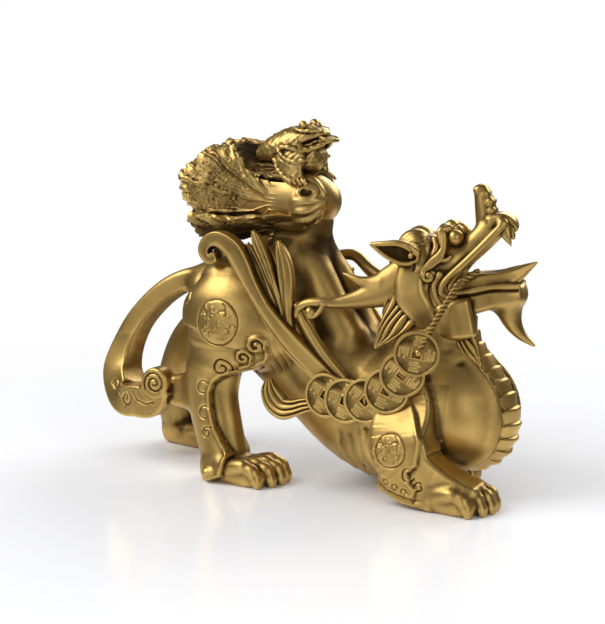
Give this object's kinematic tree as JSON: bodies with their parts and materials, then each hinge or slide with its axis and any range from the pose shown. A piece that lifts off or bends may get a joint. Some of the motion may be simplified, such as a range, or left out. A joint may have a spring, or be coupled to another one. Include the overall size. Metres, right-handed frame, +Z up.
{
  "type": "brass winged beast ornament with a cabbage, a money toad and a string of coins",
  "caption": "Cast brass ornament: a crouching winged guardian beast with a string of cash coins in its mouth, and a cabbage and a money toad on its back.",
  "frame": {"origin": "on the ground, under the middle of the figure's bounding box", "axes": "+X towards the beast's head, +Y towards the beast's own left side, +Z up"},
  "size_m": [0.2141, 0.082, 0.165],
  "materials": {
    "golden_brass": "polished cast brass with brown patina in the recesses",
    "dark_brass": "cast brass, darker, with brown patina in the recesses"
  },
  "bodies": {
    "root": {"pixiu": "golden_brass", "cabbage": "dark_brass", "money_toad": "dark_brass", "coin_string": "golden_brass"}
  },
  "joints": []
}
